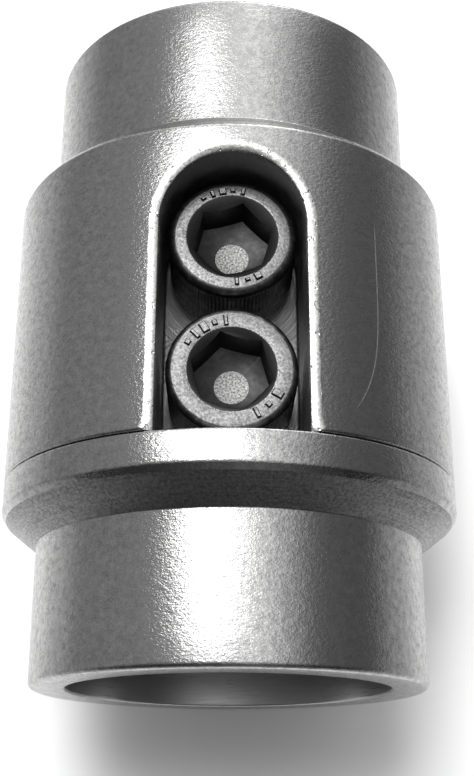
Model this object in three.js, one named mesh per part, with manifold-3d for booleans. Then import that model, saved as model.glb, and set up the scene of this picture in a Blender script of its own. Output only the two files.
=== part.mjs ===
// A rigid half-lap coupling for round tube: two turned steel halves that overlap by a long tongue each,
// clamped together by two socket head cap screws that sit one above the other in an open-ended pocket.
// Millimetres. The coupling's axis lies along Y and the screws point up, along +Z.
// The origin is on the axis, midway between the two spigot ends.
import * as THREE from "three";
import { mergeVertices } from "three/addons/utils/BufferGeometryUtils.js";
import Module from "manifold-3d";

const wasm = await Module();
wasm.setup();

// Turned outline, shared by both halves.
const BODY_R = 33.75;
const SPIGOT_R = 28.5;
const BORE_R = 23.2;
const BORE_DEPTH = 21;
const CONE = 3.6; // along the axis, from the body's diameter down to the spigot's
const FLANGE = 5.4;
const LAP = 39.4; // length of the tongues, from one flange's face to the other's
const LOWER_SPIGOT = 19.9;
const UPPER_SPIGOT = 20.9;
const LENGTH = LOWER_SPIGOT + UPPER_SPIGOT + LAP + 2 * (CONE + FLANGE);
const EDGE = 0.35; // chamfer on the turned edges
const RIM = 0.6; // chamfer on the spigots' outer ends

// Where the joint faces lie along the axis.
const JOINT_Y = -LENGTH / 2 + LOWER_SPIGOT + CONE + FLANGE;
const LAP_END_Y = JOINT_Y + LAP;

// M12 socket head cap screw, its spring lock washer, and the pocket that holds both.
const THREAD_R = 5.9;
const SCREW_LENGTH = 35;
const HEAD_R = 9;
const HEAD_HEIGHT = 12;
const THREAD_CHAMFER = 1.1;
const HEX_ACROSS_FLATS = 10;
const SOCKET_DEPTH = 6.1; // to where the drill cone starts at the hexagon's corners
const DRILL_FLAT_DEPTH = 7.3;
const COUNTERSINK_R = 6.35;
const WASHER_BORE_R = 6.1;
const WASHER_THICKNESS = 2.5;
const WASHER_SLIT = 1.2;
const POCKET_FLOOR_Z = 12.8;
const POCKET_R = 10;
const POCKET_CHAMFER = 1.0;
const CLEARANCE_R = 6.75;
const TAPPED_R = 6.1;
const TAPPED_DEPTH = 24;
const DRILL_TIP = TAPPED_R / Math.tan(THREE.MathUtils.degToRad(59)); // a 118 degree drill point
const LOWER_SCREW_Y = JOINT_Y + 10.2;
const SCREW_PITCH = 19.8;

// Locating dowels, half in each tongue.
const DOWEL_R = 4;
const DOWEL_LENGTH = 20;
const DOWEL_HOLE_R = 4.05;
const DOWEL_X = 21.5;
const DOWEL_POINT = 0.6;

const BODY_FACETS = 96;
const BORE_FACETS = 32;
const HEAD_FACETS = 48;
const POCKET_ARC_STEPS = 24;
const WELL_OUT = 60; // past every surface, for the cutters

const steel = () => new THREE.MeshStandardMaterial({ color: 0x8e8e8c, roughness: 0.38, metalness: 1 });
const blackened = () => new THREE.MeshStandardMaterial({ color: 0x3a3a3b, roughness: 0.42, metalness: 1 });
const spring = () => new THREE.MeshStandardMaterial({ color: 0x5a5a5c, roughness: 0.45, metalness: 1 });
const ground = () => new THREE.MeshStandardMaterial({ color: 0xb4b4b2, roughness: 0.25, metalness: 1 });

// A closed three.js geometry as a solid that can be joined and cut.
function solid(geometry) {
  const bare = geometry.clone();
  bare.deleteAttribute("normal");
  bare.deleteAttribute("uv");
  const merged = mergeVertices(bare, 1e-4);
  return new wasm.Manifold(
    new wasm.Mesh({
      numProp: 3,
      vertProperties: merged.attributes.position.array,
      triVerts: new Uint32Array(merged.index.array),
    }),
  );
}

function geometryOf(body) {
  const made = body.getMesh();
  const geometry = new THREE.BufferGeometry();
  geometry.setAttribute("position", new THREE.BufferAttribute(made.vertProperties, 3));
  geometry.setIndex(new THREE.BufferAttribute(made.triVerts, 1));
  geometry.computeVertexNormals();
  return geometry;
}

function meshOf(name, body, material) {
  const mesh = new THREE.Mesh(geometryOf(body), material);
  mesh.name = name;
  return mesh;
}

// A solid of revolution about Y with a flat facet straight up and straight down.
function turned(outline, facets) {
  const points = outline.map(([r, y]) => new THREE.Vector2(r, y));
  return new THREE.LatheGeometry(points, facets, Math.PI / facets);
}

// The same about Z, for screws, washers, pins and holes: the outline's second number is a height.
function turnedUpright(outline, facets) {
  return turned(outline, facets).rotateX(Math.PI / 2);
}

function box(low, high) {
  const size = high.map((v, i) => v - low[i]);
  const middle = high.map((v, i) => (v + low[i]) / 2);
  return solid(new THREE.BoxGeometry(...size).translate(...middle));
}

function roundHole(x, y, radius, bottom, top) {
  const outline = [[0, bottom], [radius, bottom], [radius, top], [0, top]];
  return solid(turnedUpright(outline, BORE_FACETS).translate(x, y, 0));
}

// One half before drilling: spigot, cone and flange below its joint face at y = 0, and above that face
// a half-round tongue on the side where z is negative.
function halfBlank(spigot) {
  const end = -(FLANGE + CONE + spigot);
  const foot = solid(turned([
    [0, end + BORE_DEPTH],
    [BORE_R, end + BORE_DEPTH],
    [BORE_R, end + EDGE],
    [BORE_R + EDGE, end],
    [SPIGOT_R - RIM, end],
    [SPIGOT_R, end + RIM],
    [SPIGOT_R, -FLANGE - CONE],
    [BODY_R - EDGE, -FLANGE],
    [BODY_R, -FLANGE + EDGE],
    [BODY_R, -EDGE],
    [BODY_R - EDGE, 0],
    [0, 0],
  ], BODY_FACETS));
  const bar = solid(turned([
    [0, -2 * EDGE],
    [BODY_R, -2 * EDGE],
    [BODY_R, LAP - EDGE],
    [BODY_R - EDGE, LAP],
    [0, LAP],
  ], BODY_FACETS));
  const lowerSide = box([-WELL_OUT, -WELL_OUT, -WELL_OUT], [WELL_OUT, WELL_OUT, 0]);
  return foot.add(bar.intersect(lowerSide));
}

const screwYs = [LOWER_SCREW_Y, LOWER_SCREW_Y + SCREW_PITCH];
const dowelY = JOINT_Y + LAP / 2;
const sides = [-1, 1];

// The pocket in plan: straight sides that start below the joint face, and a half circle round the upper screw.
function pocketOutline(openY) {
  const outline = new THREE.Shape();
  outline.moveTo(-POCKET_R, openY);
  outline.lineTo(POCKET_R, openY);
  outline.lineTo(POCKET_R, screwYs[1]);
  outline.absarc(0, screwYs[1], POCKET_R, 0, Math.PI, false);
  return outline;
}

function pocketCutter() {
  const depth = WELL_OUT - POCKET_FLOOR_Z;
  const settings = { depth, bevelEnabled: false, curveSegments: POCKET_ARC_STEPS };
  const cut = new THREE.ExtrudeGeometry(pocketOutline(JOINT_Y - 5), settings);
  return solid(cut.translate(0, 0, POCKET_FLOOR_Z));
}

// A band of triangular section that follows the pocket's edge over the round body and leaves an even chamfer.
function pocketChamferCutter() {
  const openY = JOINT_Y - 3;
  const stations = [[POCKET_R, openY, 1, 0]];
  for (let i = 0; i <= POCKET_ARC_STEPS; i++) {
    const turn = (Math.PI * i) / POCKET_ARC_STEPS;
    const [c, s] = [Math.cos(turn), Math.sin(turn)];
    stations.push([POCKET_R * c, screwYs[1] + POCKET_R * s, c, s]);
  }
  stations.push([-POCKET_R, openY, -1, 0]);

  const surface = (x) => Math.sqrt(BODY_R ** 2 - x ** 2);
  const points = [];
  for (const [x, y, outX, outY] of stations) {
    const wallZ = surface(x) - POCKET_CHAMFER;
    const rise = surface(x + outX * POCKET_CHAMFER) - wallZ;
    const along = (t) => [x + outX * POCKET_CHAMFER * t, y + outY * POCKET_CHAMFER * t, wallZ + rise * t];
    const inner = along(-0.5);
    const outer = along(1.6);
    const above = [inner[0], inner[1], outer[2] + POCKET_CHAMFER];
    points.push(...inner, ...outer, ...above);
  }
  const faces = [0, 1, 2];
  for (let i = 0; i + 1 < stations.length; i++) {
    for (let k = 0; k < 3; k++) {
      const a = 3 * i + k;
      const b = 3 * i + ((k + 1) % 3);
      faces.push(a, a + 3, b, b, a + 3, b + 3);
    }
  }
  const last = 3 * (stations.length - 1);
  faces.push(last, last + 2, last + 1);
  const band = new THREE.BufferGeometry();
  band.setAttribute("position", new THREE.Float32BufferAttribute(points, 3));
  band.setIndex(faces);
  return solid(band);
}

function slottedHalf() {
  const flip = new THREE.Matrix4().makeRotationX(Math.PI).setPosition(0, LAP_END_Y, 0);
  const blank = geometryOf(halfBlank(UPPER_SPIGOT)).applyMatrix4(flip);
  let half = solid(blank).subtract(pocketCutter()).subtract(pocketChamferCutter());
  for (const y of screwYs) {
    half = half.subtract(roundHole(0, y, CLEARANCE_R, -1, POCKET_FLOOR_Z + 1));
  }
  for (const side of sides) {
    half = half.subtract(roundHole(side * DOWEL_X, dowelY, DOWEL_HOLE_R, -1, DOWEL_LENGTH / 2 + 1));
  }
  return meshOf("slotted_half", half, steel());
}

function flangedHalf() {
  let half = solid(geometryOf(halfBlank(LOWER_SPIGOT)).translate(0, JOINT_Y, 0));
  for (const y of screwYs) {
    const tapped = [[0, -TAPPED_DEPTH - DRILL_TIP], [TAPPED_R, -TAPPED_DEPTH], [TAPPED_R, 1], [0, 1]];
    half = half.subtract(solid(turnedUpright(tapped, BORE_FACETS).translate(0, y, 0)));
  }
  for (const side of sides) {
    half = half.subtract(roundHole(side * DOWEL_X, dowelY, DOWEL_HOLE_R, -DOWEL_LENGTH / 2, 1));
  }
  return meshOf("flanged_half", half, steel());
}

// The hexagon socket with its countersunk mouth and the flat-tipped drill cone at its foot.
function socketCutter(turn) {
  const corner = HEX_ACROSS_FLATS / Math.sqrt(3);
  const cornerOnX = Math.PI / 2;
  const hexagon = new THREE.CylinderGeometry(corner, corner, HEAD_HEIGHT, 6, 1, false, cornerOnX);
  const prism = solid(hexagon.rotateX(Math.PI / 2).rotateZ(turn).translate(0, 0, HEAD_HEIGHT));
  const drill = solid(turnedUpright([
    [0, HEAD_HEIGHT - DRILL_FLAT_DEPTH],
    [corner / 2, HEAD_HEIGHT - DRILL_FLAT_DEPTH],
    [corner, HEAD_HEIGHT - SOCKET_DEPTH],
    [corner + 1, HEAD_HEIGHT - SOCKET_DEPTH],
    [corner + 1, HEAD_HEIGHT + 1],
    [0, HEAD_HEIGHT + 1],
  ], BORE_FACETS));
  const mouth = solid(turnedUpright([
    [0, HEAD_HEIGHT - COUNTERSINK_R],
    [COUNTERSINK_R + 1, HEAD_HEIGHT + 1],
    [0, HEAD_HEIGHT + 1],
  ], HEAD_FACETS));
  return prism.intersect(drill).add(mouth.intersect(box([-9, -9, HEAD_HEIGHT - 2], [9, 9, HEAD_HEIGHT + 1])));
}

// Seen from above the hexagon is turned by the given angle; crown is how far the head's top edge is rounded.
function capScrew(name, turn, crown) {
  const shape = solid(turnedUpright([
    [0, -SCREW_LENGTH],
    [THREAD_R - THREAD_CHAMFER, -SCREW_LENGTH],
    [THREAD_R, THREAD_CHAMFER - SCREW_LENGTH],
    [THREAD_R, 0],
    [HEAD_R - 0.3, 0],
    [HEAD_R, 0.3],
    [HEAD_R, HEAD_HEIGHT - crown],
    [HEAD_R - crown * (1 - Math.SQRT1_2), HEAD_HEIGHT - crown * (1 - Math.SQRT1_2)],
    [HEAD_R - crown, HEAD_HEIGHT],
    [0, HEAD_HEIGHT],
  ], HEAD_FACETS));
  const screw = meshOf(name, shape.subtract(socketCutter(turn)), blackened());
  screw.position.z = POCKET_FLOOR_Z + WASHER_THICKNESS;
  return screw;
}

// A spring lock washer screwed down flat, with its slanted slit.
function lockWasher(name) {
  const ring = solid(turnedUpright([
    [WASHER_BORE_R, 0],
    [HEAD_R, 0],
    [HEAD_R, WASHER_THICKNESS],
    [WASHER_BORE_R, WASHER_THICKNESS],
    [WASHER_BORE_R, 0],
  ], HEAD_FACETS));
  const slit = new THREE.BoxGeometry(HEAD_R, WASHER_SLIT, 3 * WASHER_THICKNESS);
  slit.rotateX(Math.PI / 5).translate((WASHER_BORE_R + HEAD_R) / 2, 0, WASHER_THICKNESS / 2);
  const washer = meshOf(name, ring.subtract(solid(slit)), spring());
  washer.position.z = POCKET_FLOOR_Z;
  return washer;
}

function dowelPin(name, side) {
  const end = DOWEL_LENGTH / 2;
  const pin = solid(turnedUpright([
    [0, -end],
    [DOWEL_R - DOWEL_POINT, -end],
    [DOWEL_R, DOWEL_POINT - end],
    [DOWEL_R, end - DOWEL_POINT],
    [DOWEL_R - DOWEL_POINT, end],
    [0, end],
  ], BORE_FACETS));
  const mesh = meshOf(name, pin, ground());
  mesh.position.set(side * DOWEL_X, dowelY, 0);
  return mesh;
}

// A screw on its washer, at its place along the pocket.
function fastening(place, y, turnDegrees, crown) {
  const set = new THREE.Group();
  set.position.y = y;
  set.add(capScrew(place + "_cap_screw", THREE.MathUtils.degToRad(turnDegrees), crown));
  set.add(lockWasher(place + "_lock_washer"));
  return set;
}

const coupling = new THREE.Group();
coupling.add(flangedHalf(), slottedHalf());
coupling.add(dowelPin("left_dowel_pin", -1), dowelPin("right_dowel_pin", 1));
coupling.add(fastening("lower", screwYs[0], -14, 0.7));
coupling.add(fastening("upper", screwYs[1], 15, 1.2));

export default coupling;
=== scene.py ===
# The looks of the half-lap coupling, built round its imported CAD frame. Lengths are in millimetres
# until a finished piece is scaled to metres. The coupling's axis lies along Y and its screws point up.
import math

import bmesh
import bpy
import numpy as np
from mathutils import Matrix, Vector


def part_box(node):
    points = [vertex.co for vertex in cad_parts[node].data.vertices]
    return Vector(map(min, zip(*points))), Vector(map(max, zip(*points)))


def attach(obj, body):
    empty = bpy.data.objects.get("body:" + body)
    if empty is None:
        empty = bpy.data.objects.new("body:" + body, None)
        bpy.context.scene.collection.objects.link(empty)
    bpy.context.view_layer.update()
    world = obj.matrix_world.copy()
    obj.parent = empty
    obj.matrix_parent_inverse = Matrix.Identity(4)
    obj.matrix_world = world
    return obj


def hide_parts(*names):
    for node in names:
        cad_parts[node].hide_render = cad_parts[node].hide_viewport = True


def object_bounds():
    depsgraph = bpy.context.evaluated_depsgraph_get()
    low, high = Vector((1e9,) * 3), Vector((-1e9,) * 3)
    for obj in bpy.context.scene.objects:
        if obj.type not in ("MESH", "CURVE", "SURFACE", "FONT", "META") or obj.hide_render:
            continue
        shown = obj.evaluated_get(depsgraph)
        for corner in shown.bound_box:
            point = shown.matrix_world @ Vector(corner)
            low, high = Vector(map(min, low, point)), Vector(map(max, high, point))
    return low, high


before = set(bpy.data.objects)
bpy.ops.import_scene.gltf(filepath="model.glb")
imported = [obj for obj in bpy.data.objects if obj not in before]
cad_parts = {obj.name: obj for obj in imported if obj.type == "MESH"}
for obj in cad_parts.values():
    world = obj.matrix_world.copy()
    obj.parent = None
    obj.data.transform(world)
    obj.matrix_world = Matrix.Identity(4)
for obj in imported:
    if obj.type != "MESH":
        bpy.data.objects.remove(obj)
cad_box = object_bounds()
scene = bpy.context.scene
MM = 0.001


def node_box(cad_node):
    """The lowest and highest corner of a CAD node, in millimetres."""
    low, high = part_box(cad_node)
    return np.array(low) / MM, np.array(high) / MM


# Places that come from the frame.
FLANGED_LOW, FLANGED_HIGH = node_box("flanged_half")
SLOTTED_LOW, SLOTTED_HIGH = node_box("slotted_half")
BODY_R = SLOTTED_HIGH[2]
JOINT_Y = SLOTTED_LOW[1]
LAP_END_Y = FLANGED_HIGH[1]
LAP = LAP_END_Y - JOINT_Y
WASHER_LOW, WASHER_HIGH = node_box("lower_lock_washer")
POCKET_FLOOR_Z = WASHER_LOW[2]
WASHER_R = (WASHER_HIGH[0] - WASHER_LOW[0]) / 2
SCREW_LOW, SCREW_HIGH = node_box("lower_cap_screw")
HEAD_R = (SCREW_HIGH[0] - SCREW_LOW[0]) / 2
HEAD_HEIGHT = SCREW_HIGH[2] - WASHER_HIGH[2]
SHANK_LENGTH = WASHER_HIGH[2] - SCREW_LOW[2]
SCREW_YS = {
    place: float(np.mean([corner[1] for corner in node_box(place + "_cap_screw")]))
    for place in ("lower", "upper")
}
DOWEL_LOW, DOWEL_HIGH = node_box("right_dowel_pin")
DOWEL_R = (DOWEL_HIGH[0] - DOWEL_LOW[0]) / 2
DOWEL_X, DOWEL_Y = (DOWEL_LOW + DOWEL_HIGH)[:2] / 2

# Turned outline of both halves.
SPIGOT_R = 28.5
BORE_R = 23.2
BORE_DEPTH = 21.0
CONE = 3.6
CONE_TOP_R = BODY_R - 0.7
FLANGE = 5.4
BEVEL = 0.9  # from the cone's wide end to the flange's rim
SEAM_GAP = 0.06  # between pieces that would otherwise touch

# The pocket and the holes.
POCKET_R = 10.0
POCKET_FILLET = 0.5
EDGE_BAND = 1.3  # width of the pocket's softened edge
EDGE_DROP = 0.4  # how far that edge falls from the body to the wall
EDGE_ROUND = 0.3  # radius where it turns down into the wall
EDGE_STEP = 0.05  # the small fall left at the outer end of the round
CLEARANCE_R = 6.75
TAPPED_DEPTH = 24.0
DOWEL_HOLE_R = DOWEL_R + 0.05
THREAD_R = 5.9
THREAD_PITCH = 1.75
THREAD_DEPTH = 0.95
THREAD_FIT = 0.12  # how much wider the tapped thread is than the screw's
THREAD_CHAMFER = 1.1
WASHER_BORE_R = THREAD_R + 0.2
WASHER_SLIT = 1.2

# A screw's head and its socket.
HEAD_DOME = 0.05  # how far the middle of the head's face stands proud
KNURL_FLUTES = 100
KNURL_DEPTH = 0.2
HEX_ACROSS_FLATS = 10.0
HEX_CORNER = HEX_ACROSS_FLATS / math.sqrt(3)
SOCKET_DEPTH = 6.1
DRILL_FLAT_DEPTH = 7.3
DRILL_FLAT_R = 2.42

ROUND_STEPS = 320  # facets round the body
HOLE_STEPS = 96
FAR = 60.0  # past every surface, for the cutters
MOST_SLOTS = 6  # material slots that every mesh has while it is being cut


# ---------------------------------------------------------------- meshes

def new_object(name, verts, faces, material_index=0):
    """A mesh object whose faces point outwards and share one material slot."""
    mesh = bpy.data.meshes.new(name)
    mesh.from_pydata([tuple(v) for v in verts], [], faces)
    made = bmesh.new()
    made.from_mesh(mesh)
    bmesh.ops.recalc_face_normals(made, faces=made.faces)
    for face in made.faces:
        face.material_index = material_index
    made.to_mesh(mesh)
    made.free()
    for _ in range(MOST_SLOTS):
        mesh.materials.append(None)
    piece = bpy.data.objects.new(name, mesh)
    scene.collection.objects.link(piece)
    return piece


def rounded(corners, steps=6):
    """An outline from corners (r, h, radius), each corner with a radius turned into an arc."""
    outline = []
    for i, (r, h, radius) in enumerate(corners):
        here = Vector((r, h))
        if not radius:
            outline.append(here)
            continue
        back = (Vector(corners[i - 1][:2]) - here).normalized()
        ahead = (Vector(corners[(i + 1) % len(corners)][:2]) - here).normalized()
        half = back.angle(ahead) / 2
        reach = radius / math.tan(half)
        centre = here + (back + ahead).normalized() * (radius / math.sin(half))
        first = here + back * reach - centre
        last = here + ahead * reach - centre
        sweep = first.angle_signed(last)
        for k in range(steps + 1):
            turned = first.copy()
            turned.rotate(Matrix.Rotation(-sweep * k / steps, 2))
            outline.append(centre + turned)
    return [(p.x, p.y) for p in outline]


def subdivided(outline, longest):
    """The outline with its long straight stretches cut into shorter ones."""
    fine = []
    for (r0, h0), (r1, h1) in zip(outline, outline[1:]):
        parts = max(1, math.ceil(math.hypot(r1 - r0, h1 - h0) / longest))
        fine += [(r0 + (r1 - r0) * k / parts, h0 + (h1 - h0) * k / parts) for k in range(parts)]
    return fine + [outline[-1]]


def grid_faces(rows, columns):
    """Quads between neighbouring rows of points, each row closed on itself."""
    faces = []
    for i in range(rows - 1):
        for j in range(columns):
            a, b = i * columns + j, i * columns + (j + 1) % columns
            faces.append((a, b, b + columns, a + columns))
    return faces


def revolve(name, outline, upright=False, steps=ROUND_STEPS, material_index=0, ring=False):
    """A closed solid of revolution about Y, or about Z if it is upright."""
    turns = np.arange(steps) * 2 * math.pi / steps
    rows = outline + [outline[0]] if ring else outline[1:-1]
    verts = []
    for r, h in rows:
        for turn in turns:
            side, up = r * math.sin(turn), r * math.cos(turn)
            verts.append((side, -up, h) if upright else (side, h, up))
    faces = grid_faces(len(rows), steps)
    if ring:
        verts = verts[:-steps]
        count = len(verts)
        faces = [tuple(v % count for v in face) for face in faces]
    else:
        for row, (_, h) in ((0, outline[0]), (len(rows) - 1, outline[-1])):
            verts.append((0, 0, h) if upright else (0, h, 0))
            pole = len(verts) - 1
            start = row * steps
            faces += [(start + j, start + (j + 1) % steps, pole) for j in range(steps)]
    return new_object(name, verts, faces, material_index)


def box(low, high, material_index=0):
    corners = [(x, y, z) for z in (low[2], high[2]) for y in (low[1], high[1]) for x in (low[0], high[0])]
    faces = [(0, 1, 3, 2), (4, 5, 7, 6), (0, 1, 5, 4), (2, 3, 7, 6), (0, 2, 6, 4), (1, 3, 7, 5)]
    return new_object("box", corners, faces, material_index)


def transformed(piece, matrix):
    piece.data.transform(matrix)
    if matrix.determinant() < 0:
        piece.data.flip_normals()
    return piece


def combine(piece, others, operation):
    """Applies one boolean with each of the others in turn, and uses them up."""
    for other in others:
        step = piece.modifiers.new("combine", "BOOLEAN")
        step.operation = operation
        step.solver = "MANIFOLD"
        step.object = other
    shown = piece.evaluated_get(bpy.context.evaluated_depsgraph_get())
    mesh = bpy.data.meshes.new_from_object(shown)
    piece.modifiers.clear()
    piece.data = mesh
    for other in others:
        bpy.data.objects.remove(other)
    return piece


def add(piece, *others):
    return combine(piece, others, "UNION")


def cut(piece, *others):
    return combine(piece, others, "DIFFERENCE")


def keep(piece, *others):
    return combine(piece, others, "INTERSECT")


def finished(piece, cad_node, body, materials, sharp=35.0):
    """The piece in metres, smooth apart from its sharp edges, standing for its CAD node."""
    piece.data.transform(Matrix.Scale(MM, 4))
    for slot_number, material in enumerate(materials):
        piece.data.materials[slot_number] = material
    while len(piece.data.materials) > len(materials):
        piece.data.materials.pop()
    piece.data.shade_smooth()
    piece.data.set_sharp_from_angle(angle=math.radians(sharp))
    piece.name = cad_node + "_steel"
    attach(piece, body)
    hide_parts(cad_node)
    return piece


def true_round(piece):
    """Makes the shading of the turned faces exactly round about the coupling's axis.

    Faces that the cutters left long and thin would otherwise shade in streaks."""
    mesh = piece.data
    corners = len(mesh.loops)
    normals = np.empty(3 * corners, dtype=np.float32)
    mesh.corner_normals.foreach_get("vector", normals)
    normals = normals.reshape(-1, 3).astype(float)
    points = np.empty(3 * len(mesh.vertices))
    mesh.vertices.foreach_get("co", points)
    index = np.empty(corners, dtype=np.int32)
    mesh.loops.foreach_get("vertex_index", index)
    points = points.reshape(-1, 3)[index]
    facing = np.zeros((corners, 3))
    slots = np.zeros(corners, dtype=int)
    for face in mesh.polygons:
        rows = slice(face.loop_start, face.loop_start + face.loop_total)
        facing[rows] = face.normal
        slots[rows] = face.material_index
    reach = np.hypot(points[:, 0], points[:, 2]) + 1e-12
    out = points[:, [0, 2]] / reach[:, None]
    radial = (facing[:, [0, 2]] * out).sum(axis=1)
    sideways = facing[:, 0] * out[:, 1] - facing[:, 2] * out[:, 0]
    lathed = (slots == TURNED) | (slots == CONE_TURNED)
    # A turned face doesn't lean round the axis, and it isn't square to it either.
    turned = (np.abs(sideways) < 0.03) & lathed & (np.abs(radial) > 0.05)
    smooth = np.abs((normals * facing).sum(axis=1)) > 0.9
    along = np.where(smooth, normals[:, 1], facing[:, 1])
    across = np.sqrt(np.clip(1 - along**2, 0, 1)) * np.sign(radial)
    exact = np.column_stack((across * out[:, 0], along, across * out[:, 1]))
    normals[turned] = exact[turned]
    mesh.normals_split_custom_set(normals.tolist())


# Material slots of the two halves.
TURNED, BURNISHED, POCKET, BORE, FACED, CONE_TURNED = range(6)


# ---------------------------------------------------------------- the two halves

def half_blank(spigot):
    """One half before drilling, its joint face at y = 0 and its tongue on the side where z is negative."""
    end = -(FLANGE + CONE + spigot)
    foot = rounded([
        (0, end + BORE_DEPTH, 0),
        (BORE_R, end + BORE_DEPTH, 1.0),
        (BORE_R, end, 0.45),
        (SPIGOT_R, end, 0.8),
        (SPIGOT_R, -FLANGE - CONE, 0.3),
        (CONE_TOP_R, -FLANGE, 0.06),
        (BODY_R, -FLANGE + BEVEL, 0.9),
        (BODY_R, -SEAM_GAP, 0.4),
        (0, -SEAM_GAP, 0),
    ])
    bar = rounded([
        (0, -2, 0),
        (BODY_R, -2, 0),
        (BODY_R, LAP - SEAM_GAP, 0.5),
        (0, LAP - SEAM_GAP, 0),
    ])
    tongue = revolve("tongue", subdivided(bar, 4.0))
    keep(tongue, box((-FAR, -FAR, -FAR), (FAR, FAR, -SEAM_GAP / 2), FACED))
    blank = revolve("foot", subdivided(foot, 4.0))
    for face in blank.data.polygons:
        reach = math.hypot(face.center.x, face.center.z)
        if reach < BORE_R + 0.2:
            face.material_index = BORE
        elif face.center.y > -SEAM_GAP - 0.01:
            face.material_index = FACED
        elif -FLANGE - CONE < face.center.y < -FLANGE:
            face.material_index = CONE_TURNED
    return add(blank, tongue)


def seam_relief():
    """Wedges that break the long edges of a tongue, where the two halves meet along their sides."""
    wedges = []
    reach = 0.28
    for side in (-1, 1):
        wedge = box((-reach, JOINT_Y - 0.5, -reach), (reach, LAP_END_Y + 0.5, reach))
        turn = Matrix.Rotation(math.radians(45), 4, "Y")
        wedges.append(transformed(wedge, Matrix.Translation((side * BODY_R, 0, 0)) @ turn))
    return wedges


def round_hole(x, y, radius, bottom, top, material_index=BORE):
    outline = [(0, bottom), (radius, bottom), (radius, top), (0, top)]
    hole = revolve("hole", outline, True, HOLE_STEPS, material_index)
    return transformed(hole, Matrix.Translation((x, y, 0)))


def pocket_ring(inset, z, open_y):
    """The pocket's outline at one height, its walls moved inwards by inset."""
    radius = POCKET_R - inset
    turns = np.linspace(0, math.pi, 121)
    arc = [(radius * math.cos(t), SCREW_YS["upper"] + radius * math.sin(t), z) for t in turns]
    return [(radius, open_y, z)] + arc + [(-radius, open_y, z)]


def pocket_cutter():
    """The pocket's hollow, with a small fillet where its walls meet its floor."""
    levels = []
    for k in range(7):
        turn = math.radians(15 * k)
        rise = POCKET_FILLET * (1 - math.cos(turn))
        levels.append((POCKET_FILLET * (1 - math.sin(turn)), POCKET_FLOOR_Z + rise))
    levels.append((0, FAR))
    rings = [pocket_ring(inset, z, JOINT_Y - 5) for inset, z in levels]
    count = len(rings[0])
    faces = grid_faces(len(rings), count)
    faces.append(tuple(range(count)))
    faces.append(tuple(range(count * (len(rings) - 1), count * len(rings))))
    return new_object("pocket", [p for ring in rings for p in ring], faces, POCKET)


def edge_profile(flare):
    """How far below the body the pocket's softened edge lies, at each distance out from its wall.

    A small round turns up from the wall into a broad shallow crown that fades into the body."""
    band = EDGE_BAND * flare
    drop = EDGE_DROP * flare
    tilt = math.atan2(2 * drop + EDGE_STEP, band)
    profile = []
    for k in range(8):
        turn = math.radians(90) + (tilt - math.radians(90)) * k / 7
        rise = EDGE_ROUND * (math.cos(tilt) - math.cos(turn))
        profile.append((EDGE_ROUND * (1 - math.sin(turn)), drop + EDGE_STEP + rise))
    start = profile[-1][0]
    for k in range(1, 13):
        part = k / 12
        profile.append((start + band * part, drop * (1 - part) ** 2 + EDGE_STEP * (1 - part)))
    profile.append((start + band * 1.12, -0.02))
    return profile


def edge_cutter():
    """A band that follows the pocket's edge over the round body and leaves it softly crowned.

    The edge is slightly uneven, and it flares where the pocket opens at the joint."""
    open_y = JOINT_Y - 1.0
    upper_y = SCREW_YS["upper"]
    ys = np.concatenate((np.arange(open_y, JOINT_Y + 3, 0.2), np.linspace(JOINT_Y + 3, upper_y, 24)[:-1]))
    stations = [(POCKET_R, y, 1.0, 0.0) for y in ys]
    for turn in np.linspace(0, math.pi, 161):
        c, s = math.cos(turn), math.sin(turn)
        stations.append((POCKET_R * c, upper_y + POCKET_R * s, c, s))
    stations += [(-POCKET_R, y, -1.0, 0.0) for y in ys[::-1]]

    verts = []
    for x, y, out_x, out_y in stations:
        uneven = 0.03 * math.sin(1.7 * y + 2.1 * x) + 0.025 * math.sin(4.3 * y - 3.0 * x)
        flare = 1 + uneven + 0.8 * math.exp(-max(0.0, y - JOINT_Y) / 0.9)
        wall_z = math.sqrt(BODY_R**2 - x**2)
        section = []
        for out, depth in edge_profile(flare):
            px = x + out_x * out
            surface = math.sqrt(BODY_R**2 - px**2)
            section.append((px, y + out_y * out, surface - depth))
        low = section[0]
        section.insert(0, (x - out_x * 0.6, y - out_y * 0.6, low[2] - 0.02))
        last = section[-1]
        section.append((last[0], last[1], wall_z + 4))
        section.append((section[0][0], section[0][1], wall_z + 4))
        verts += section
    count = len(verts) // len(stations)
    faces = grid_faces(len(stations), count)
    faces.append(tuple(range(count)))
    faces.append(tuple(range(len(verts) - count, len(verts))))
    return new_object("edge", verts, faces, BURNISHED)


def tapped_hole(y):
    """A threaded hole down from the split plane, with a drill's tip below and a countersink above."""
    hole = threaded_rod("tapped", THREAD_R + THREAD_FIT, -TAPPED_DEPTH, 1.0, 0, BORE)
    tip_r = 5
    overlap = -TAPPED_DEPTH + 2
    tip_outline = [(0, -TAPPED_DEPTH - 3.5), (tip_r, -TAPPED_DEPTH + 0.2), (tip_r, overlap), (0, overlap)]
    tip = revolve("tip", tip_outline, True, 72, BORE)
    sink_r = THREAD_R + 0.8
    mouth_outline = [(0, -0.9), (THREAD_R - 0.3, -0.9), (sink_r, 0.2), (sink_r, 1), (0, 1)]
    mouth = revolve("mouth", mouth_outline, True, HOLE_STEPS, BORE)
    return [transformed(cutter, Matrix.Translation((0, y, 0))) for cutter in (hole, tip, mouth)]


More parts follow.
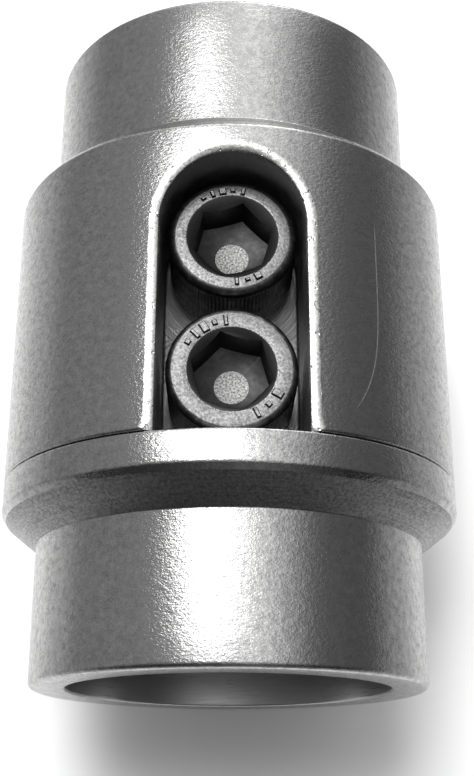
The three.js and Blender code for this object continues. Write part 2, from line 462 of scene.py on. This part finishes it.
def slotted_half():
    half = half_blank(-LAP - CONE - FLANGE + SLOTTED_HIGH[1] - JOINT_Y)
    flip = Matrix.Translation((0, LAP_END_Y, 0)) @ Matrix.Rotation(math.pi, 4, "X")
    transformed(half, flip)
    cut(half, pocket_cutter())
    cut(half, edge_cutter())
    cut(half, *seam_relief())
    for y in SCREW_YS.values():
        cut(half, round_hole(0, y, CLEARANCE_R, -1, POCKET_FLOOR_Z + 1))
    for side in (-1, 1):
        cut(half, round_hole(side * DOWEL_X, DOWEL_Y, DOWEL_HOLE_R, -1, DOWEL_HIGH[2] + 1))
    return half


def flanged_half():
    half = half_blank(JOINT_Y - CONE - FLANGE - FLANGED_LOW[1])
    transformed(half, Matrix.Translation((0, JOINT_Y, 0)))
    cut(half, *seam_relief())
    for y in SCREW_YS.values():
        for cutter in tapped_hole(y):
            cut(half, cutter)
    for side in (-1, 1):
        cut(half, round_hole(side * DOWEL_X, DOWEL_Y, DOWEL_HOLE_R, DOWEL_LOW[2], 1))
    return half


# ---------------------------------------------------------------- screws, washers and pins

def capped(name, verts, steps, bottom, top, material_index):
    """A solid from rows of points round Z, closed by a fan at each end."""
    rows = len(verts) // steps
    faces = grid_faces(rows, steps)
    verts += [(0, 0, bottom), (0, 0, top)]
    for row, pole in ((0, len(verts) - 2), (rows - 1, len(verts) - 1)):
        faces += [(row * steps + j, row * steps + (j + 1) % steps, pole) for j in range(steps)]
    return new_object(name, verts, faces, material_index)


def threaded_rod(name, radius, bottom, top, chamfer, material_index=0):
    """A right-handed thread about Z whose ridges stay in step with every other thread made here."""
    steps = HOLE_STEPS
    rise = THREAD_PITCH / 10
    heights = np.arange(bottom, top + rise / 2, rise)
    turns = np.arange(steps) * 2 * math.pi / steps
    verts = []
    for z in heights:
        for turn in turns:
            phase = (z / THREAD_PITCH - turn / (2 * math.pi)) % 1.0
            # Slanted flanks between a flat crest at 0 and a flat root at 1.
            tooth = min(1.0, max(0.0, 2.4 * abs(2 * phase - 1) - 0.7))
            r = radius - THREAD_DEPTH * tooth
            if chamfer:
                r = min(r, radius - chamfer + (z - bottom))
            verts.append((r * math.cos(turn), r * math.sin(turn), z))
    return capped(name, verts, steps, heights[0], heights[-1], material_index)


# Material slots of a screw.
OXIDE, WORN, SOCKET_WALL, DRILLED, SHEARED = range(5)


def knurled_head(crown):
    """The screw's head standing on z = 0, with straight knurling up its side and a rounded top edge."""
    # Radius, height and how deep the knurling is there, from 0 to 1.
    outline = [(HEAD_R - 0.35, 0, 0), (HEAD_R - 0.05, 0.3, 1), (HEAD_R, 0.5, 1)]
    top = HEAD_HEIGHT - crown - 0.5
    outline += [(HEAD_R, z, 1) for z in np.linspace(0.8, top - 0.3, 8)]
    rim_r = HEAD_R - 0.03
    outline += [(HEAD_R, top, 0.8), (HEAD_R - 0.02, top + 0.3, 0.25), (rim_r, top + 0.5, 0)]
    for k in range(1, 9):
        turn = math.radians(90 * k / 8)
        outline.append((rim_r - crown * (1 - math.cos(turn)), HEAD_HEIGHT - crown * (1 - math.sin(turn)), 0))
    edge_r = rim_r - crown
    for quarter in range(1, 5):
        dome = HEAD_DOME * math.sin(math.pi / 2 * quarter / 4)
        outline.append((edge_r - 0.2 * quarter, HEAD_HEIGHT + dome, 0))
    outline += [(r, HEAD_HEIGHT + HEAD_DOME, 0) for r in np.linspace(edge_r - 1.1, 1.0, 6)]

    steps = KNURL_FLUTES * 6
    verts = []
    for r, z, weight in outline:
        for turn in np.arange(steps) * 2 * math.pi / steps:
            across = (turn * KNURL_FLUTES / (2 * math.pi)) % 1.0
            reach = r - weight * KNURL_DEPTH * abs(2 * across - 1) ** 1.5
            verts.append((reach * math.cos(turn), reach * math.sin(turn), z))
    head = capped("head", verts, steps, 0, HEAD_HEIGHT + HEAD_DOME, OXIDE)
    for face in head.data.polygons:
        if face.normal.z > 0.97 and face.center.z > HEAD_HEIGHT - 0.1:
            face.material_index = WORN
    return head


def socket_cutters(turn, mouth_r):
    """The countersunk mouth, and the hexagon that ends in a drill's cone with a round flat."""
    above = HEAD_HEIGHT + 1
    prism_verts = []
    for z in (0, above):
        for corner in (turn + math.radians(60 * k) for k in range(6)):
            prism_verts.append((HEX_CORNER * math.cos(corner), HEX_CORNER * math.sin(corner), z))
    faces = grid_faces(2, 6) + [tuple(range(6)), tuple(range(6, 12))]
    prism = new_object("prism", prism_verts, faces, SOCKET_WALL)
    flat = HEAD_HEIGHT - DRILL_FLAT_DEPTH
    foot = HEAD_HEIGHT - SOCKET_DEPTH
    wide = HEX_CORNER + 1
    drill_outline = [
        (0, flat), (DRILL_FLAT_R, flat), (HEX_CORNER, foot), (wide, foot), (wide, above), (0, above),
    ]
    drill = revolve("drill", drill_outline, True, 128, DRILLED)
    for face in drill.data.polygons:
        if abs(face.center.z - flat) < 0.01:
            face.material_index = SHEARED
    keep(prism, drill)
    sink = 1.5
    mouth_outline = [
        (0, HEAD_HEIGHT - sink), (mouth_r - sink, HEAD_HEIGHT - sink), (mouth_r, HEAD_HEIGHT),
        (mouth_r + 0.2, HEAD_HEIGHT + 0.06), (mouth_r + 1, HEAD_HEIGHT + 0.5), (0, above),
    ]
    mouth = revolve("mouth", mouth_outline, True, 2 * HOLE_STEPS, SOCKET_WALL)
    # The thin lip at the mouth's edge takes the bright sheared steel, a painted highlight line round the
    # socket.
    for face in mouth.data.polygons:
        if HEAD_HEIGHT < face.center.z < HEAD_HEIGHT + 0.06:
            face.material_index = SHEARED
    return mouth, prism


def raised_mark(radius, degrees, length, width):
    """A small raised bar on the head's face, longer outwards than round, standing in for stamped marks."""
    height, taper = 0.4, 0.17
    verts = []
    for z, shrink in ((-0.2, 0), (height * 0.45, 0.02), (height, taper)):
        for x, y in ((-1, -1), (1, -1), (1, 1), (-1, 1)):
            verts.append((x * (length / 2 - shrink), y * (width / 2 - shrink), z))
    faces = grid_faces(3, 4) + [(0, 1, 2, 3), (8, 9, 10, 11)]
    mark = new_object("mark", verts, faces, WORN)
    for side in mark.data.polygons[:8]:
        side.material_index = OXIDE
    turn = Matrix.Rotation(math.radians(degrees), 4, "Z")
    return transformed(mark, turn @ Matrix.Translation((radius, 0, HEAD_HEIGHT)))


def cap_screw(turn_degrees, crown, mouth_r, mark_arcs):
    """A screw whose hexagon, rim, socket mouth and arcs of marks can differ from the other's."""
    head = knurled_head(crown)
    for cutter in socket_cutters(math.radians(turn_degrees), mouth_r):
        cut(head, cutter)
    add(head, threaded_rod("shank", THREAD_R, -SHANK_LENGTH, 0.5, THREAD_CHAMFER))
    face_r = HEAD_R - crown
    # The share of the ring-shaped face that a mark crosses, and its width.
    kinds = ((0.84, 0.65), (0.44, 0.8), (0.84, 1.1))
    for first, last, count in mark_arcs:
        for k, degrees in enumerate(np.linspace(first, last, count)):
            share, width = kinds[k % 3]
            length = share * (face_r - mouth_r)
            add(head, raised_mark((mouth_r + face_r) / 2, degrees, length, width))
    return head


def lock_washer():
    """A spring washer pressed flat, with its slanted slit and softened corners."""
    thick = WASHER_HIGH[2] - WASHER_LOW[2] - 2 * SEAM_GAP
    inner, outer = 0.15, 0.3
    outline = rounded([
        (WASHER_BORE_R, 0, inner),
        (WASHER_R, 0, outer),
        (WASHER_R, thick, outer),
        (WASHER_BORE_R, thick, inner),
    ])
    ring = revolve("washer", outline, True, ROUND_STEPS // 2, ring=True)
    slit = box((0, -WASHER_SLIT / 2, -3 * thick), (WASHER_R + 2, WASHER_SLIT / 2, 3 * thick))
    tilt = Matrix.Translation((WASHER_BORE_R - 1, 0, thick / 2)) @ Matrix.Rotation(math.pi / 5, 4, "X")
    return cut(ring, transformed(slit, tilt))


def dowel_pin(side):
    """A pin through the split plane with rounded ends, to the left (-1) or right (1) of the screws."""
    half = (DOWEL_HIGH[2] - DOWEL_LOW[2]) / 2
    point = 0.7
    outline = rounded([(0, -half, 0), (DOWEL_R, -half, point), (DOWEL_R, half, point), (0, half, 0)])
    pin = revolve("pin", outline, True, HOLE_STEPS)
    return transformed(pin, Matrix.Translation((side * DOWEL_X, DOWEL_Y, 0)))


# ---------------------------------------------------------------- materials

def new_metal(name, colour, roughness):
    """A bare metal with its average colour and roughness, and the tree that takes its detail."""
    material = bpy.data.materials.new(name)
    material.use_nodes = True
    tree = material.node_tree
    shader = tree.nodes["Principled BSDF"]
    shader.inputs["Base Color"].default_value = (*colour, 1)
    shader.inputs["Metallic"].default_value = 1
    shader.inputs["Roughness"].default_value = roughness
    return material, tree, shader


def node(tree, kind, inputs=(), **settings):
    """A new node whose inputs are set, or linked where they are given as sockets."""
    made = tree.nodes.new(kind)
    for key, value in settings.items():
        setattr(made, key, value)
    for key, value in dict(inputs).items():
        if isinstance(value, bpy.types.NodeSocket):
            tree.links.new(value, made.inputs[key])
        else:
            made.inputs[key].default_value = value
    return made


def maths(tree, operation, first, second=0.0):
    return node(tree, "ShaderNodeMath", {0: first, 1: second}, operation=operation).outputs[0]


def mixed(tree, first, second, share):
    """Two values added together, with this share of the second."""
    kept = maths(tree, "MULTIPLY", first, 1 - share)
    return maths(tree, "ADD", kept, maths(tree, "MULTIPLY", second, share))


def hypotenuse(tree, first, second):
    squares = [maths(tree, "MULTIPLY", side, side) for side in (first, second)]
    return maths(tree, "SQRT", maths(tree, "ADD", *squares))


def split(tree, vector):
    return node(tree, "ShaderNodeSeparateXYZ", {0: vector}).outputs


def millimetres(tree):
    """The place on the object, which is in the same frame as the CAD."""
    place = node(tree, "ShaderNodeTexCoord").outputs["Object"]
    return node(tree, "ShaderNodeVectorMath", {0: place, "Scale": 1 / MM}, operation="SCALE").outputs[0]


def stretched(tree, vector, factors):
    return node(tree, "ShaderNodeVectorMath", {0: vector, 1: factors}, operation="MULTIPLY").outputs[0]


def wrapped(tree, radius):
    """Millimetres round the coupling, along it, and out from its axis."""
    across, along, up = split(tree, millimetres(tree))
    arc = maths(tree, "MULTIPLY", maths(tree, "ARCTAN2", across, up), radius)
    out = hypotenuse(tree, across, up)
    return node(tree, "ShaderNodeCombineXYZ", {0: arc, 1: along, 2: out}).outputs[0]


def noise(tree, vector, scale, detail=3.0, roughness=0.55):
    """Noise about 0.5, with this many blotches to a millimetre where the vector is in millimetres."""
    inputs = {"Vector": vector, "Scale": scale, "Detail": detail, "Roughness": roughness}
    return node(tree, "ShaderNodeTexNoise", inputs).outputs["Fac"]


def spread(tree, value, low, high, new_low, new_high):
    """The value taken from one range to another, and held at its ends."""
    inputs = {"Value": value, "From Min": low, "From Max": high, "To Min": new_low, "To Max": new_high}
    return node(tree, "ShaderNodeMapRange", inputs).outputs["Result"]


def tint(tree, value, dark, light):
    """Goes from one colour to another, each a grey or (r, g, b), as the value goes from 0 to 1."""
    ramp = node(tree, "ShaderNodeValToRGB", {"Fac": value})
    for element, shade in zip(ramp.color_ramp.elements, (dark, light)):
        element.color = (*np.broadcast_to(shade, 3), 1)
    return ramp.outputs["Color"]


def bump(tree, shader, *layers):
    """Adds bumps to the shader, each a height from 0 to 1 and what 1 stands for in millimetres."""
    normal = None
    for height, size in layers:
        inputs = {"Height": height, "Distance": size * MM, "Strength": 1.0}
        if normal is not None:
            inputs["Normal"] = normal
        normal = node(tree, "ShaderNodeBump", inputs).outputs["Normal"]
    tree.links.new(normal, shader.inputs["Normal"])


def dress(tree, shader, colour, roughness):
    """Links the colour and roughness that vary over the surface."""
    tree.links.new(colour, shader.inputs["Base Color"])
    tree.links.new(roughness, shader.inputs["Roughness"])


def scratched(tree, place):
    """A hair-thin scratch along the right of the body, from 0 beside it to 1 on it.

    It is straight at first and bends towards the pocket near the joint, and both its ends fade."""
    arc, along, _ = split(tree, place)
    bend_from, bend_rate, straight_arc, middle = 6.0, 1.76e-5, 21.2, -2.3
    past_bend = maths(tree, "POWER", maths(tree, "SUBTRACT", bend_from, along), 4.0)
    bend = maths(tree, "MULTIPLY", past_bend, bend_rate)
    aside = maths(tree, "ABSOLUTE", maths(tree, "SUBTRACT", maths(tree, "ADD", arc, bend), straight_arc))
    from_middle = maths(tree, "ABSOLUTE", maths(tree, "SUBTRACT", along, middle))
    line = spread(tree, aside, 0.04, 0.11, 1, 0)
    return maths(tree, "MULTIPLY", line, spread(tree, from_middle, 12, 15, 1, 0))


def tumbled_steel():
    """Turned steel after tumbling: fine pits stretched round the body, bright specks and faint tool lines."""
    material, tree, shader = new_metal("tumbled_steel", (0.55, 0.55, 0.545), 0.15)
    place = wrapped(tree, BODY_R)
    pits = noise(tree, stretched(tree, place, (1.0, 1.6, 1.0)), 1.6, 3.0, 0.62)
    specks = noise(tree, stretched(tree, place, (1.0, 1.4, 1.0)), 3.4, 2.0, 0.6)
    patches = noise(tree, stretched(tree, place, (1.0, 1.2, 1.0)), 0.8, 4.0, 0.7)
    lines = noise(tree, stretched(tree, place, (0.12, 9.0, 3.0)), 1.0, 2.0, 0.5)
    sparks = spread(tree, noise(tree, place, 2.6, 1.0, 0.4), 0.7, 0.78, 0, 0.35)
    blend = mixed(tree, specks, patches, 0.55)
    tone = maths(tree, "ADD", spread(tree, blend, 0.38, 0.6, 0, 1), sparks)
    scratch = scratched(tree, place)
    rough_scratch = maths(tree, "MULTIPLY", scratch, 0.35)
    dress(tree, shader,
          tint(tree, maths(tree, "ADD", tone, scratch), 0.36, (0.63, 0.63, 0.625)),
          maths(tree, "ADD", spread(tree, blend, 0.4, 0.6, 0.28, 0.08), rough_scratch))
    shader.inputs["Specular Tint"].default_value = (0.75, 0.75, 0.75, 1)
    bump(tree, shader, (pits, 0.055), (specks, 0.018), (lines, 0.003))
    return material


def cone_steel_painted_shade():
    """The cones under the flanges, left rough from the lathe, with faint rings and pits, and darkened in
    colour as painted shade where they face away from the light towards the dark table in front.
    """
    material, tree, shader = new_metal("cone_steel_painted_shade", (0.34, 0.34, 0.34), 0.34)
    place = wrapped(tree, BODY_R)
    rings = noise(tree, stretched(tree, place, (0.05, 7.0, 7.0)), 1.0, 3.0, 0.6)
    specks = noise(tree, place, 2.4, 3.0, 0.6)
    blend = mixed(tree, rings, specks, 0.7)
    # Painted shade: the tint keeps the cones far darker than the body's steel.
    dress(tree, shader,
          tint(tree, spread(tree, blend, 0.36, 0.64, 0, 1), 0.13, 0.33),
          spread(tree, blend, 0.35, 0.65, 0.45, 0.28))
    bump(tree, shader, (rings, 0.014), (specks, 0.03))
    return material


def burnished_steel():
    """The pocket's softened edge, rubbed bright, with a few nicks."""
    material, tree, shader = new_metal("burnished_steel", (0.72, 0.72, 0.71), 0.2)
    place = millimetres(tree)
    grain = noise(tree, place, 2.2, 3.0)
    dress(tree, shader,
          tint(tree, spread(tree, grain, 0.35, 0.6, 0, 1), 0.4, (0.68, 0.68, 0.67)),
          spread(tree, grain, 0.35, 0.65, 0.32, 0.2))
    nicks = spread(tree, noise(tree, place, 0.9, 1.0), 0.64, 0.7, 1, 0)
    bump(tree, shader, (grain, 0.035), (nicks, 0.08))
    return material


def milled_steel():
    """The pocket's walls and floor, with arcs left by the milling cutter round each screw."""
    material, tree, shader = new_metal("milled_steel", (0.2, 0.2, 0.2), 0.36)
    place = millimetres(tree)
    across, along, _ = split(tree, place)
    middle = (SCREW_YS["lower"] + SCREW_YS["upper"]) / 2
    half_pitch = (SCREW_YS["upper"] - SCREW_YS["lower"]) / 2
    from_middle = maths(tree, "ABSOLUTE", maths(tree, "SUBTRACT", along, middle))
    reach = hypotenuse(tree, across, maths(tree, "SUBTRACT", from_middle, half_pitch))
    wobble = noise(tree, place, 0.5, 3.0)
    rings = node(tree, "ShaderNodeCombineXYZ", {0: maths(tree, "MULTIPLY", reach, 3.4), 1: wobble})
    arcs = spread(tree, noise(tree, rings.outputs[0], 1.0, 3.0, 0.7), 0.3, 0.7, 0, 1)
    dress(tree, shader, tint(tree, arcs, 0.2, 0.55), spread(tree, wobble, 0.3, 0.7, 0.5, 0.34))
    bump(tree, shader, (arcs, 0.05), (noise(tree, place, 5.0), 0.012))
    return material


def bored_steel():
    """Drilled and bored surfaces, ringed by the tool."""
    material, tree, shader = new_metal("bored_steel", (0.42, 0.42, 0.42), 0.32)
    rings = noise(tree, stretched(tree, wrapped(tree, BORE_R), (0.1, 6.0, 6.0)), 1.0)
    dress(tree, shader, tint(tree, rings, 0.34, 0.5), spread(tree, rings, 0.3, 0.7, 0.4, 0.26))
    bump(tree, shader, (rings, 0.01))
    return material


def faced_steel():
    """The flat faces where the halves meet, crossed by a fly cutter's wide arcs."""
    material, tree, shader = new_metal("faced_steel", (0.55, 0.55, 0.55), 0.24)
    place = millimetres(tree)
    cutter_centre = (55.0, 0.0, 0.0)
    reach = node(tree, "ShaderNodeVectorMath", {0: place, 1: cutter_centre}, operation="DISTANCE")
    waves = maths(tree, "SINE", maths(tree, "MULTIPLY", reach.outputs["Value"], 11.0))
    arcs = spread(tree, waves, -1, 1, 0, 1)
    patches = noise(tree, place, 0.5, 4.0)
    dress(tree, shader,
          tint(tree, patches, 0.45, (0.64, 0.64, 0.63)),
          spread(tree, patches, 0.3, 0.7, 0.32, 0.2))
    bump(tree, shader, (arcs, 0.006), (noise(tree, place, 6.0), 0.004))
    return material


def black_oxide():
    """The screws' blackened sides and threads, rubbed greyer in patches."""
    material, tree, shader = new_metal("black_oxide", (0.14, 0.14, 0.145), 0.36)
    place = millimetres(tree)
    grain = noise(tree, place, 2.5, 4.0)
    rubbed = spread(tree, noise(tree, place, 0.7, 4.0, 0.65), 0.45, 0.75, 0, 1)
    dress(tree, shader,
          tint(tree, rubbed, (0.07, 0.07, 0.073), 0.2),
          spread(tree, grain, 0.3, 0.7, 0.45, 0.3))
    bump(tree, shader, (grain, 0.015))
    return material


def worn_face():
    """The tops of the screw heads, where the oxide is rubbed to grey."""
    material, tree, shader = new_metal("worn_face", (0.25, 0.25, 0.25), 0.48)
    place = millimetres(tree)
    grain = noise(tree, place, 3.2, 4.0, 0.65)
    rubbed = noise(tree, place, 0.8, 4.0, 0.65)
    blend = mixed(tree, grain, rubbed, 0.2)
    dress(tree, shader,
          tint(tree, spread(tree, blend, 0.38, 0.6, 0, 1), 0.14, 0.29),
          spread(tree, blend, 0.35, 0.65, 0.46, 0.34))
    bump(tree, shader, (grain, 0.045))
    return material


def socket_steel():
    """The broached walls of a socket and its countersunk mouth, with streaks down them."""
    material, tree, shader = new_metal("socket_steel", (0.12, 0.12, 0.125), 0.38)
    drag = noise(tree, stretched(tree, millimetres(tree), (5.0, 5.0, 0.5)), 1.0)
    dress(tree, shader,
          tint(tree, drag, 0.07, (0.18, 0.18, 0.185)),
          spread(tree, drag, 0.3, 0.7, 0.45, 0.32))
    bump(tree, shader, (drag, 0.015))
    return material


def drilled_steel_painted_shade():
    """The drill's cone at the foot of a socket, its colour darkened well below the oxide's as painted shade
    for the deep hollow.
    """
    material, tree, shader = new_metal("drilled_steel_painted_shade", (0.08, 0.08, 0.08), 0.42)
    grain = noise(tree, millimetres(tree), 1.2, 3.0, 0.6)
    # Painted shade: a nearly black tint, darker than the oxide elsewhere on the screw.
    dress(tree, shader, tint(tree, grain, 0.02, 0.055), spread(tree, grain, 0.3, 0.7, 0.34, 0.26))
    bump(tree, shader, (grain, 0.006))
    return material


def sheared_steel():
    """The round flat at the foot of a socket, torn and granular, and never blackened; on the thin lip round
    the socket's mouth the same bright steel is a painted highlight line.
    """
    material, tree, shader = new_metal("sheared_steel", (0.5, 0.5, 0.495), 0.55)
    grain = noise(tree, millimetres(tree), 3.6, 4.0, 0.7)
    dress(tree, shader,
          tint(tree, spread(tree, grain, 0.38, 0.6, 0, 1), 0.16, (0.6, 0.6, 0.595)),
          spread(tree, grain, 0.3, 0.7, 0.62, 0.45))
    bump(tree, shader, (grain, 0.06))
    return material


def spring_steel():
    """The lock washers, left as they came from hardening."""
    material, tree, shader = new_metal("spring_steel", (0.3, 0.3, 0.305), 0.38)
    grain = noise(tree, millimetres(tree), 2.0, 4.0)
    dress(tree, shader,
          tint(tree, grain, (0.2, 0.2, 0.205), 0.4),
          spread(tree, grain, 0.3, 0.7, 0.45, 0.32))
    bump(tree, shader, (grain, 0.015))
    return material


def ground_steel():
    """Centreless ground pins, with fine lines round them."""
    material, tree, shader = new_metal("ground_steel", (0.66, 0.66, 0.65), 0.16)
    lines = noise(tree, stretched(tree, millimetres(tree), (0.5, 0.5, 22.0)), 1.0, 2.0)
    dress(tree, shader,
          tint(tree, lines, 0.58, (0.7, 0.7, 0.69)),
          spread(tree, lines, 0.3, 0.7, 0.22, 0.13))
    bump(tree, shader, (lines, 0.002))
    return material


def pale_table():
    """A matt table, white round the coupling and greyer further off, a painted pool of light round the
    coupling.
    """
    material = bpy.data.materials.new("pale_table")
    material.use_nodes = True
    tree = material.node_tree
    shader = tree.nodes["Principled BSDF"]
    shader.inputs["Roughness"].default_value = 0.9
    shader.inputs["Specular IOR Level"].default_value = 0.1
    place = millimetres(tree)
    oval = stretched(tree, place, (1.0, 0.35, 0.0))
    reach = node(tree, "ShaderNodeVectorMath", {0: oval}, operation="LENGTH").outputs["Value"]
    cloudy = maths(tree, "MULTIPLY", noise(tree, place, 0.02, 3.0), 12.0)
    # Painted light: the colour is white near the coupling and greyer further off, like a pool of light.
    near = spread(tree, maths(tree, "ADD", reach, cloudy), 62, 118, 1, 0)
    tree.links.new(tint(tree, near, 0.44, 0.9), shader.inputs["Base Color"])
    return material


# ---------------------------------------------------------------- studio

def floor():
    """A wide table that the coupling rests on."""
    level = cad_box[0][2]
    reach = 5.0
    verts = [(x, y, level) for x, y in ((-reach, -reach), (reach, -reach), (reach, reach), (-reach, reach))]
    table = new_object("table", verts, [(0, 1, 2, 3)])
    if table.data.polygons[0].normal.z < 0:
        table.data.flip_normals()
    table.data.materials[0] = pale_table()
    return table


def softbox(name, tips, distance, width, length, radiance, beam=180):
    """A rectangular light aimed at the coupling, tipped sideways and along it from straight above."""
    light = bpy.data.lights.new(name, "AREA")
    light.spread = math.radians(beam)
    light.shape = "RECTANGLE"
    light.size = width
    light.size_y = length
    light.energy = radiance * math.pi * width * length
    lamp = bpy.data.objects.new(name, light)
    scene.collection.objects.link(lamp)
    sideways, along = (math.tan(math.radians(degrees)) for degrees in tips)
    place = Vector((sideways, along, 1)).normalized()
    facing = place.to_track_quat("Z", "Y").to_matrix().to_4x4()
    lamp.matrix_world = Matrix.Translation(place * distance) @ facing
    return lamp


def room():
    """Surroundings that are grey on the left, pale overhead and dark on the right and low in front."""
    world = bpy.data.worlds.new("room")
    scene.world = world
    world.use_nodes = True
    tree = world.node_tree
    direction = node(tree, "ShaderNodeTexCoord").outputs["Generated"]
    sideways, along, _ = split(tree, direction)
    ramp = node(tree, "ShaderNodeValToRGB", {"Fac": spread(tree, sideways, -1, 1, 0, 1)}).color_ramp
    # How bright the surroundings are, from the far left (0) over the top (0.5) to the far right (1).
    across = {0.0: 0.27, 0.25: 0.31, 0.45: 0.75, 0.6: 1.35, 0.72: 0.75, 0.85: 0.15, 1.0: 0.1}
    while len(ramp.elements) < len(across):
        ramp.elements.new(0.5)
    for element, (position, strength) in zip(ramp.elements, across.items()):
        element.position = position
        element.color = (strength, strength, strength, 1)
    front = spread(tree, along, -0.6, -0.1, 0.12, 1.0)
    back = spread(tree, along, 0.72, 0.95, 1.0, 2.5)
    background = tree.nodes["Background"]
    tree.links.new(tree.nodes["Color Ramp"].outputs["Color"], background.inputs["Color"])
    tree.links.new(maths(tree, "MULTIPLY", front, back), background.inputs["Strength"])


def lights(table):
    """A soft key light, and a second one from the same side that brightens only the table."""
    softbox("key", (-14, 17), 0.42, 0.21, 0.276, 4.5)
    fill = softbox("table_fill", (-8, 15), 0.35, 0.15, 0.2, 3.7, beam=90)
    lit = bpy.data.collections.new("table_only")
    lit.objects.link(table)
    fill.light_linking.receiver_collection = lit


def camera():
    """The viewpoint: above and in front of the flanged half's end, looking down the coupling."""
    data = bpy.data.cameras.new("camera")
    data.lens = 53.663
    data.sensor_width = 36
    data.clip_start = 0.005
    eye = bpy.data.objects.new("camera", data)
    scene.collection.objects.link(eye)
    right = Vector((1, 0.002, 0.017)).normalized()
    back = Vector((-0.015, -0.349, 0.937))
    back = (back - right * back.dot(right)).normalized()
    up = back.cross(right)
    turned = Matrix((right, up, back)).transposed().to_4x4()
    place = Vector((-1.658, -66.132, 170.602)) * MM
    eye.matrix_world = Matrix.Translation(place) @ turned
    scene.camera = eye


# ---------------------------------------------------------------- assembly

camera()
room()
lights(floor())

half_materials = [
    tumbled_steel(), burnished_steel(), milled_steel(), bored_steel(), faced_steel(), cone_steel_painted_shade(),
]
for name, half in (("flanged_half", flanged_half()), ("slotted_half", slotted_half())):
    finished(half, name, name, half_materials)
    true_round(half)

screw_materials = [black_oxide(), worn_face(), socket_steel(), drilled_steel_painted_shade(), sheared_steel()]
# How far each hexagon is turned, the rim's rounding, the socket mouth's radius, and the arcs of marks,
# each with its first and last degree and how many marks it has.
HEADS = {
    "lower": (-14, 1.0, 6.05, [(97, 148, 5), (-62, -30, 3)]),
    "upper": (15, 1.25, 6.4, [(78, 125, 5), (-85, -60, 3)]),
}
for place, looks in HEADS.items():
    screw = cap_screw(*looks)
    transformed(screw, Matrix.Translation((0, SCREW_YS[place], WASHER_HIGH[2])))
    finished(screw, place + "_cap_screw", place + "_screw", screw_materials, 40)
    on_floor = Matrix.Translation((0, SCREW_YS[place], POCKET_FLOOR_Z + SEAM_GAP))
    washer = transformed(lock_washer(), on_floor)
    finished(washer, place + "_lock_washer", place + "_washer", [spring_steel()])

for side, name in ((-1, "left_dowel_pin"), (1, "right_dowel_pin")):
    finished(dowel_pin(side), name, "flanged_half", [ground_steel()])

scene.view_settings.view_transform = "Standard"
